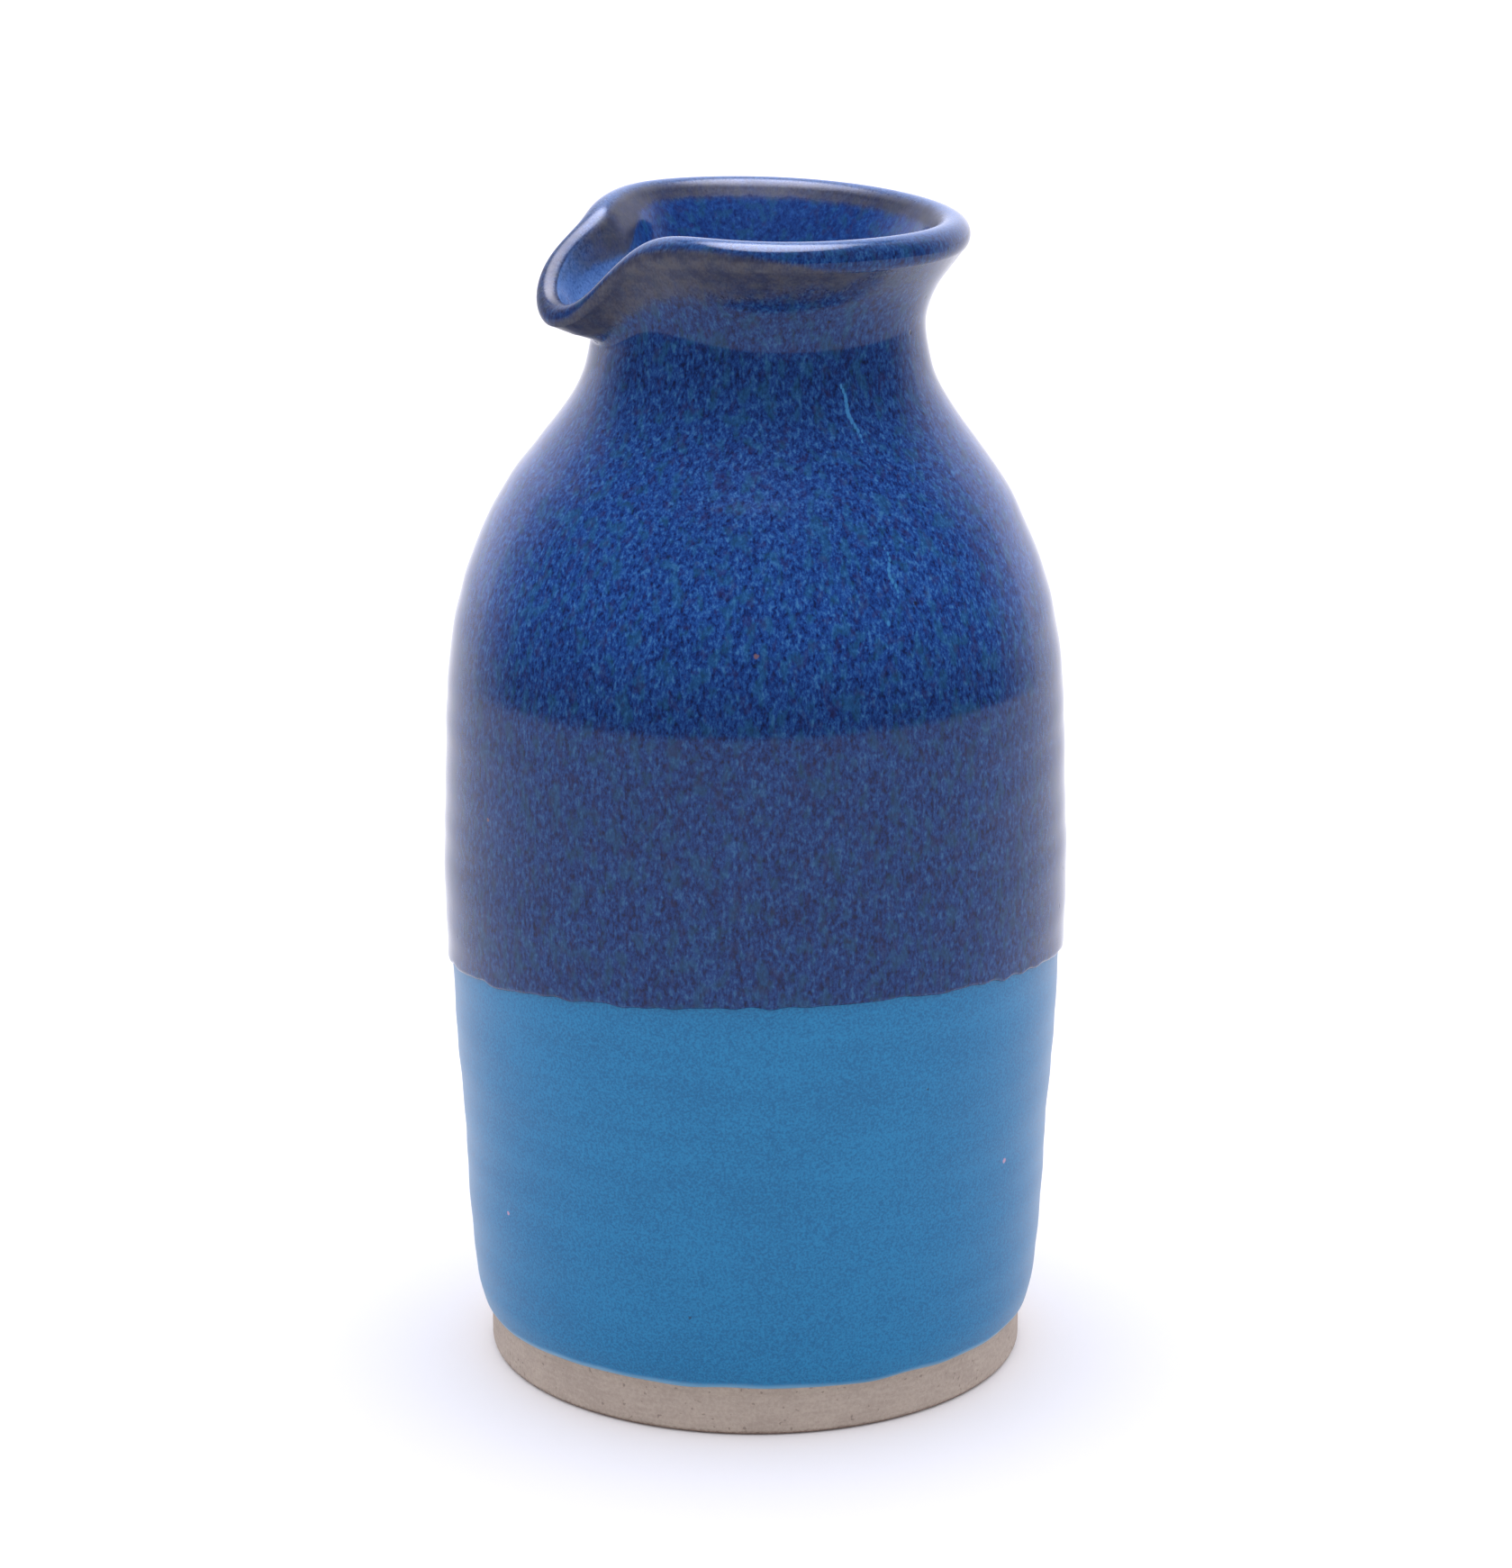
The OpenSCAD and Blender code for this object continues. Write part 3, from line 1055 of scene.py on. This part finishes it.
@dataclass
class StonewareBody(Piece):
    """The thrown clay: foot, wall, floor and the pulled neck, in one piece."""

    node: ClassVar[str] = "stoneware_body"
    slot: ClassVar[Slot] = Slot.CLAY
    finish: ClassVar[ClayFinish] = ClayFinish()
    columns: int = 300
    foot_rounding: float = 1
    foot_ring: float = 8
    foot_slope: float = 2
    foot_hollow: float = 0.8

    def build(self) -> bpy.types.Object:
        """Makes the clay's mesh.

        Returns:
            The new object.
        """
        form, turns = self.form, self.turns[:, None]
        ring_inside = form.foot_radius - self.foot_rounding - self.foot_ring
        hollow = np.linspace(AXIS_GAP, ring_inside - self.foot_slope, 8)
        under = pairs(hollow, self.foot_hollow)
        slope = np.linspace(0, 1, 5)[1:]
        side = pairs(ring_inside + self.foot_slope * (slope - 1), self.foot_hollow * (1 - ease(slope, 0, 1)))
        corner = (form.foot_radius - self.foot_rounding, self.foot_rounding)
        ring = pairs(np.linspace(ring_inside + 1, corner[0], 6), 0.0)
        edge = arc(corner, (self.foot_rounding, self.foot_rounding), (-90, 0), 10)[1:]
        z = np.concatenate([np.linspace(1.5, 9, 16), np.linspace(11, form.crown, 60, endpoint=False)])
        above_foot = form.clay_outside(np.maximum(z, form.foot_top))
        radius = np.where(z < form.foot_top, form.foot_radius, above_foot)
        wall = pairs(radius, z)
        throat = form.throat_path(form.throat_start, 24)
        bend_top = form.floor + form.floor_curve
        z = np.linspace(form.throat_start - 2, bend_top, 40)
        inner = pairs(form.clay_inside(z, form.wall), z)
        bend_radius = float(form.clay_inside(np.array(bend_top), form.wall)) - form.floor_curve
        bend = arc((bend_radius, bend_top), (form.floor_curve, form.floor_curve), (0, -90), 12)[1:]
        floor = pairs(np.linspace(bend_radius, AXIS_GAP, 8)[1:], form.floor)
        path = np.concatenate([under, side, ring, edge, wall, form.flare_path(14), form.roll_path(24),
                               throat, inner, bend, floor])
        section = form.pulled(np.broadcast_to(path, (self.columns, *path.shape)), turns)
        outside = np.zeros(len(path))
        first = len(under) + len(side) + len(ring) + len(edge)
        outside[first:first + len(wall)] = 1
        section[..., 0] += outside * form.throwing(section[..., 1], turns)
        above = np.broadcast_to(path[:, 1], section.shape[:2])
        return Turning("thrown_clay", self.turns, section, False, {"above_ground": above}).build(form)


@dataclass
class TurquoiseCoat(Piece):
    """The base coat, poured over the outside down to a line above the foot.

    Attributes:
        edge_rise: Height over its lower edge up to which its rows are finest.
        fine_rise: Height over its lower edge up to which they are fine.
        line: Waves of its lower edge.
    """

    node: ClassVar[str] = "turquoise_glaze"
    slot: ClassVar[Slot] = Slot.TURQUOISE
    finish: ClassVar[TurquoiseFinish] = TurquoiseFinish()
    columns: int = 480
    edge_rise: float = 1.2
    fine_rise: float = 6
    line: Ripple = field(default_factory=lambda: Ripple(seed=11, lowest=2, highest=30, size=0.28, fall=1.1))

    def foot_line(self) -> np.ndarray:
        """Height of the coat's lower edge in each direction."""
        return self.form.foot_line + self.line.at(self.turns[:, None])

    def build(self) -> bpy.types.Object:
        """Makes the coat's mesh.

        Returns:
            The new object.
        """
        form, turns = self.form, self.turns[:, None]
        foot = self.foot_line()
        finest = self.edge_rise * crowded(10)
        near = foot + np.concatenate([finest, np.linspace(self.edge_rise, self.fine_rise, 8)])
        rest, last = np.linspace(0, 1, 100)[1:], near[:, -1:]
        heights = np.concatenate([near, last + (form.turquoise_top - last) * rest], 1)
        outer = pairs(form.turquoise_surface(heights, foot), heights)
        behind = heights[:, ::-3]
        inner = pairs(form.clay_outside(behind) - form.coat_sink, behind)
        section = np.concatenate([outer, inner], 1)
        section[..., 0] += form.throwing(section[..., 1], turns)
        above = section[..., 1] - foot
        return Turning("turquoise_coat", self.turns, section, True, {"above_foot": above}).build(form)


@dataclass
class BlueCoat(Piece):
    """The top coat, from a leaning dip line over the rim and down into the throat.

    Attributes:
        edge_run: Distance from its lower edge to its full thickness.
        bead: How much thicker it is just above that edge.
        bead_height: Height of the bead over the edge.
        bead_spread: How far the bead spreads.
        throat_thinning: How much thinner it is at its end in the throat.
        throat_thin_top: Height in the throat below which it runs thinner.
        olive_start: Height under the rolled rim where it begins to run thin.
        throat_olive: Height in the throat where it does.
        waves: Small waves of the dip line.
        drips: Turn, depth and width of each drip of the dip line.
    """

    node: ClassVar[str] = "blue_glaze"
    slot: ClassVar[Slot] = Slot.BLUE
    finish: ClassVar[BlueFinish] = BlueFinish()
    columns: int = 440
    edge_run: float = 0.7
    bead: float = 0.03
    bead_height: float = 1.1
    bead_spread: float = 0.8
    throat_thinning: float = 0.2
    throat_thin_top: float = 149
    olive_start: float = 162.9
    throat_olive: float = 167.4
    waves: Ripple = field(default_factory=lambda: Ripple(seed=5, lowest=9, highest=70, size=0.13, fall=0.45))
    drips: tuple[tuple[float, float, float], ...] = (
        (57, 0.27, 1.6), (94, 0.18, 2.0), (128, 0.21, 1.8), (20, 0.24, 2.2), (-30, 0.3, 2.0),
        (-75, 0.24, 1.5), (-120, 0.36, 2.4), (160, 0.24, 1.8))

    def edge(self) -> np.ndarray:
        """Draws the dip line with its small waves and drips.

        Returns:
            Its height in each direction.
        """
        turns = self.turns[:, None]
        line = self.form.dip_edge(turns) + self.waves.at(turns)
        for turn, depth, width in self.drips:
            line = line - depth * bump(wrapped(turns - turn), width)
        return line

    def pools_and_light(self, crown: np.ndarray, angle: np.ndarray) -> np.ndarray:
        """Where the coat is painted paler on the rim's top and in the spout, from 0 up: partly thicker glaze,
        partly painted light.

        Args:
            crown: Points of radius and height along the crown before it is pulled.
            angle: Angle of each point round the roll, or BEFORE_ROLL or AFTER_ROLL.

        Returns:
            A share for each direction and point.
        """
        side, height = wrapped(self.turns)[:, None], crown[:, 1]
        inside, on_roll = angle == AFTER_ROLL, (angle > BEFORE_ROLL) & (angle < AFTER_ROLL)
        # The top of the roll except at the spout, painted paler as a painted reflection, then the trough of
        # the spout and its lip, where thicker glaze is painted paler still as painted light against their
        # shade.
        lit_roll_top = 0.8 * bump(angle - 88, 38) * on_roll * (1 - 0.8 * bump(side, 24))
        middle = bump(side + 4, 12)
        trough = inside * ease(height, 155, 161) * (1 - ease(height, 164, 167) * (1 - middle))
        lip = (angle > 125) * on_roll * middle
        return np.maximum(lit_roll_top, 1.3 * np.maximum(trough * bump(side + 14, 22), lip))

    def breaks(self, crown: np.ndarray, angle: np.ndarray) -> np.ndarray:
        """How thin the coat runs over the neck and rim, from 0 to 1.

        Args:
            crown: Points of radius and height along the crown before it is pulled.
            angle: Angle of each point round the roll, or BEFORE_ROLL or AFTER_ROLL.

        Returns:
            A share for each direction and point.
        """
        side, height = wrapped(self.turns)[:, None], crown[:, 1]
        turn, inside = np.abs(side), angle == AFTER_ROLL
        # A band under the roll, which starts lower towards the spout, climbs most beside it and fades behind.
        start = self.olive_start - 2.6 * bump(turn, 34) + 0.6 * ease(turn, 60, 105)
        below = ease(height, start - 3.0, start + 2.2) * (1 - 0.6 * ease(turn, 105, 150))
        top = 26 - 34 * bump(turn, 24) - 74 * ease(turn, 66, 114)
        under_roll = below * (1 - ease(angle, top - 22, top + 22)) * (1 - 0.5 * bump(side + 2, 13))
        # The face of the lip, the inner edge of the roll, and its top at the lip.
        lip_face = 0.5 * bump(side + 2, 22) * ease(angle, -50, 0) * (angle < 120)
        crest = (0.8 - 0.55 * bump(side + 4, 13)) * bump(angle - 140, 30) * ~inside
        lip_crest = 0.9 * bump(side + 4, 34) * bump(angle - 88, 30) * ~inside
        # The upper part of the throat, except in the middle of the spout.
        lowest = self.throat_olive - 3.8 * bump(side + 32, 17)
        throat = 0.85 * inside * ease(height, lowest - 0.8, lowest + 0.9) * (1 - 0.9 * bump(side + 4, 13))
        return np.max([under_roll, lip_face, crest, lip_crest, throat], 0)

    def build(self) -> bpy.types.Object:
        """Makes the coat's mesh.

        Returns:
            The new object.
        """
        form, turns = self.form, self.turns[:, None]
        edge, foot = self.edge(), form.foot_line
        share = np.linspace(0, 1, 84, endpoint=False)
        heights = np.concatenate([edge + crowded(10), edge + 1 + (form.crown - edge - 1) * share], 1)
        wall = pairs(form.turquoise_surface(heights, foot), heights)
        flare, roll, throat = form.flare_path(18), form.roll_path(34), form.throat_path(form.throat_edge, 30)
        crown = np.concatenate([flare, roll, throat])
        under = np.concatenate([wall, np.broadcast_to(crown, (self.columns, *crown.shape))], 1)
        height, rows = under[..., 1], np.arange(under.shape[1])
        bead = self.bead * bump(height - edge - self.bead_height, self.bead_spread)
        on_wall = form.blue_coat * swell(height - edge, self.edge_run) + bead
        thinned = 1 - ease(height, form.throat_edge, self.throat_thin_top)
        in_throat = form.blue_coat - self.throat_thinning * thinned
        depth = np.where(rows < wall.shape[1], on_wall, form.blue_coat)
        depth = np.where(rows >= wall.shape[1] + len(flare) + len(roll), in_throat, depth)
        outer = moved_out(under, depth)
        outer[:, -1, 1] = form.throat_edge
        back = moved_out(under, np.full(under.shape[:2], -form.coat_sink))[:, ::-4]
        back[:, 0, 1] = form.throat_edge
        back[:, -1] = under[:, 0] - [form.coat_sink, -0.02]
        section = form.pulled(np.concatenate([outer, back], 1), turns)
        section[..., 0] += form.throwing(section[..., 1], turns)
        round_roll = np.linspace(form.roll_start, form.roll_end, len(roll))
        angle = np.concatenate([np.full(len(flare), BEFORE_ROLL), round_roll,
                                np.full(len(throat), AFTER_ROLL)])
        marks = {name: np.zeros(section.shape[:2]) for name in ("break", "pool_and_light", "inside")}
        crowned = slice(wall.shape[1], outer.shape[1])
        marks["break"][:, crowned] = self.breaks(crown, angle)
        marks["pool_and_light"][:, crowned] = self.pools_and_light(crown, angle)
        marks["inside"][:, crowned] = angle == AFTER_ROLL
        return Turning("blue_coat", self.turns, section, True, marks).build(form)


@dataclass
class LinerCoat(Piece):
    """The coat inside, over the wall and the floor up to the throat.

    Attributes:
        overlap: How far its upper end reaches behind the lower end of the blue coat.
    """

    node: ClassVar[str] = "liner_glaze"
    slot: ClassVar[Slot] = Slot.LINER
    finish: ClassVar[BlueFinish] = BlueFinish(name="liner_blue")
    columns: int = 300
    overlap: float = 0.4

    def build(self) -> bpy.types.Object:
        """Makes the coat's mesh.

        Returns:
            The new object.
        """
        form = self.form
        path = np.concatenate([self.outline(-form.coat_sink)[::-1], self.outline(form.liner_coat)])
        section = np.broadcast_to(path, (self.columns, *path.shape)).copy()
        marks = {"inside": np.ones(section.shape[:2])}
        return Turning("liner_coat", self.turns, section, False, marks).build(form)

    def outline(self, coat: float) -> np.ndarray:
        """Section of the hollow inside the pot, from the throat to the middle of the floor.

        Args:
            coat: How far it stands in from the clay.

        Returns:
            Points of radius and height.
        """
        form = self.form
        bend, bend_top = form.floor_curve - coat, form.floor + form.floor_curve
        z = np.linspace(form.throat_edge + self.overlap, form.throat_start, 6, endpoint=False)
        throat = pairs(form.inside.at(z) - coat, z)
        z = np.linspace(form.throat_start, bend_top, 60)
        wall = pairs(form.clay_inside(z, form.wall + coat), z)
        radius = wall[-1, 0] - bend
        curve = arc((radius, bend_top), (bend, bend), (0, -90), 16)[1:]
        floor = pairs(np.linspace(radius, AXIS_GAP, 10)[1:], form.floor + coat)
        return np.concatenate([throat, wall, curve, floor])


# ---------------------------------------------------------------------------------------------
# Studio


@dataclass
class Studio:
    """Pale floor, even white light, and a duller room that only the gloss reflects.

    Attributes:
        facing: Direction in which the camera stands, in degrees from +X.
    """

    facing: float
    floor_radius: float = 3.0
    floor_sides: int = 96
    floor_colour: Colour = (0.905, 0.885, 0.815)
    floor_roughness: float = 0.9
    floor_specular: float = 0.1
    tint: Colour = (0.97, 0.97, 1.14)
    sky: float = 1.50
    front_shade: float = 0.75
    zenith: float = 0.15
    room_radius: float = 0.40
    room_reach: float = 122
    room_bottom: float = 0.092
    room_sag: float = 0.050
    room_top: float = 0.95
    room_tone: float = 0.20
    room_side_tone: float = 1.0
    room_fade: float = 0.83
    lamp_height: float = 0.96
    lamp_front: float = 0.56
    lamp_back: float = 0.70
    lamp_half_width: float = 0.50
    lamp_power: float = 19.0
    lamp_fade: tuple[float, float] = (0.35, 1.1)

    @property
    def ahead(self) -> Vector:
        """Level direction from the pot to the camera."""
        return Vector((math.cos(math.radians(self.facing)), math.sin(math.radians(self.facing)), 0))

    def build(self) -> None:
        """Makes the floor, the sky, the room and the lamp."""
        self.floor()
        self.light()
        self.room()
        self.lamp()

    def floor(self) -> None:
        """Makes the floor."""
        turns = [2 * math.pi * i / self.floor_sides for i in range(self.floor_sides)]
        ring = [(self.floor_radius * math.cos(turn), self.floor_radius * math.sin(turn), 0) for turn in turns]
        floor = new_object("studio_floor", ring, [tuple(range(self.floor_sides))])
        material, paint = new_material("studio_floor")
        shader = paint.node("ShaderNodeBsdfPrincipled", {}, {
            "Base Color": self.floor_colour, "Roughness": self.floor_roughness,
            "Specular IOR Level": self.floor_specular})
        paint.node("ShaderNodeOutputMaterial", {}, {"Surface": shader.outputs[0]})
        floor.data.materials.append(material)

    def light(self) -> None:
        """Makes the sky, a little brighter overhead and duller on the camera's side."""
        world = bpy.data.worlds.new("studio_sky")
        bpy.context.scene.world = world
        world.use_nodes = True
        paint = Paint(world.node_tree)
        direction = paint.node("ShaderNodeTexCoord").outputs["Generated"]
        height = Value(paint, paint.node("ShaderNodeSeparateXYZ", {}, {0: direction}).outputs[2])
        feeds = {0: direction, 1: tuple(self.ahead)}
        across = paint.node("ShaderNodeVectorMath", {"operation": "DOT_PRODUCT"}, feeds)
        front = Value(paint, across.outputs["Value"]).rise(0.0, 1.0)
        sky = paint.node("ShaderNodeBackground", {}, {
            "Color": self.tint,
            "Strength": self.sky + self.zenith * height.rise(0.0, 1.0) - self.front_shade * front})
        paint.node("ShaderNodeOutputWorld", {}, {"Surface": sky.outputs[0]})

    def room(self) -> None:
        """Makes the duller wall in front of the pot, which only reflections see."""
        around = np.radians(self.facing + np.linspace(-self.room_reach, self.room_reach, 65))
        front = self.ahead * self.room_radius
        points, faces = [], []
        for i, angle in enumerate(around):
            x = self.room_radius * math.cos(angle) - front.x
            y = self.room_radius * math.sin(angle) - front.y
            bottom = self.room_bottom - self.room_sag * (2 * i / (len(around) - 1) - 1) ** 2
            points += [(x, y, bottom), (x, y, self.room_top)]
            if i:
                faces.append((2 * i - 2, 2 * i, 2 * i + 1, 2 * i - 1))
        room = new_object("studio_room", points, faces)
        room.location = front
        reach = 2 * self.room_radius * math.sin(math.radians(self.room_reach / 2))
        self.glow(room, (self.room_tone, self.room_side_tone), (self.room_fade * reach, reach), (1, 1, 0))

    def lamp(self) -> None:
        """Makes the soft lamp overhead and behind, which only reflections see."""
        middle, half_length = (self.lamp_front - self.lamp_back) / 2, (self.lamp_front + self.lamp_back) / 2
        corners = [(-1, -1, 0), (1, -1, 0), (1, 1, 0), (-1, 1, 0)]
        lamp = new_object("studio_lamp", corners, [(0, 1, 2, 3)])
        lamp.location = self.ahead * middle + Vector((0, 0, self.lamp_height))
        lamp.rotation_euler = (0, 0, math.radians(self.facing))
        lamp.scale = (half_length, self.lamp_half_width, 1)
        self.glow(lamp, (self.lamp_power, 0.0), self.lamp_fade, (1, 1, 1))

    def glow(self, panel: bpy.types.Object, power: tuple[float, float], run: tuple[float, float],
             along: tuple[float, float, float]) -> None:
        """Lets a panel shine in reflections and nowhere else.

        Args:
            panel: The panel.
            power: How brightly it shines at its origin and at its border.
            run: Distances from its origin between which the light changes.
            along: How much each of its axes counts in the distance.
        """
        material, paint = new_material(panel.name)
        here = paint.stretched(paint.node("ShaderNodeTexCoord").outputs["Object"], along)
        length = paint.node("ShaderNodeVectorMath", {"operation": "LENGTH"}, {0: here}).outputs["Value"]
        strength = power[0] + (power[1] - power[0]) * Value(paint, length).rise(*run)
        shine = paint.node("ShaderNodeEmission", {}, {"Color": self.tint, "Strength": strength})
        paint.node("ShaderNodeOutputMaterial", {}, {"Surface": shine.outputs[0]})
        panel.data.materials.append(material)
        panel.visible_camera = panel.visible_diffuse = panel.visible_shadow = False
        panel.visible_transmission = panel.visible_volume_scatter = False


@dataclass
class Viewpoint:
    """The camera, aimed at a point on the pot's axis. Lengths are in metres."""

    target_height: float = 0.08597
    distance: float = 0.72496
    elevation: float = 16.456
    turn: float = 76.7
    lens: float = 113.73
    side_shift: float = 0.0004
    sensor: float = 36

    @property
    def facing(self) -> float:
        """Direction of the camera seen from the pot, in degrees from +X."""
        return 180 + self.turn

    def build(self) -> bpy.types.Object:
        """Makes the camera.

        Returns:
            The camera.
        """
        e, a = math.radians(self.elevation), math.radians(self.facing)
        back = Vector((math.cos(e) * math.cos(a), math.cos(e) * math.sin(a), math.sin(e)))
        data = bpy.data.cameras.new("camera")
        data.lens, data.sensor_width, data.shift_x = self.lens, self.sensor, self.side_shift
        camera = bpy.data.objects.new("camera", data)
        camera.location = Vector((0, 0, self.target_height)) + back * self.distance
        camera.rotation_mode = "QUATERNION"
        camera.rotation_quaternion = (-back).to_track_quat("-Z", "Y")
        bpy.context.scene.collection.objects.link(camera)
        bpy.context.scene.camera = camera
        return camera


def main() -> None:
    """Builds the camera, the studio and the pot's pieces in order."""
    logging.basicConfig(level=logging.INFO, format="%(name)s: %(message)s")
    scene = bpy.context.scene
    scene.view_settings.view_transform = "Standard"
    view = Viewpoint()
    view.build()
    Studio(view.facing).build()
    form = ThrownForm()
    LOG.info("one drawn millimetre is %.6f m", form.unit)
    for part in (StonewareBody(form), TurquoiseCoat(form), BlueCoat(form), LinerCoat(form)):
        piece = part.build()
        part.dress(piece)
        LOG.info("%s rides on root", piece.name)


if __name__ == "__main__":
    main()
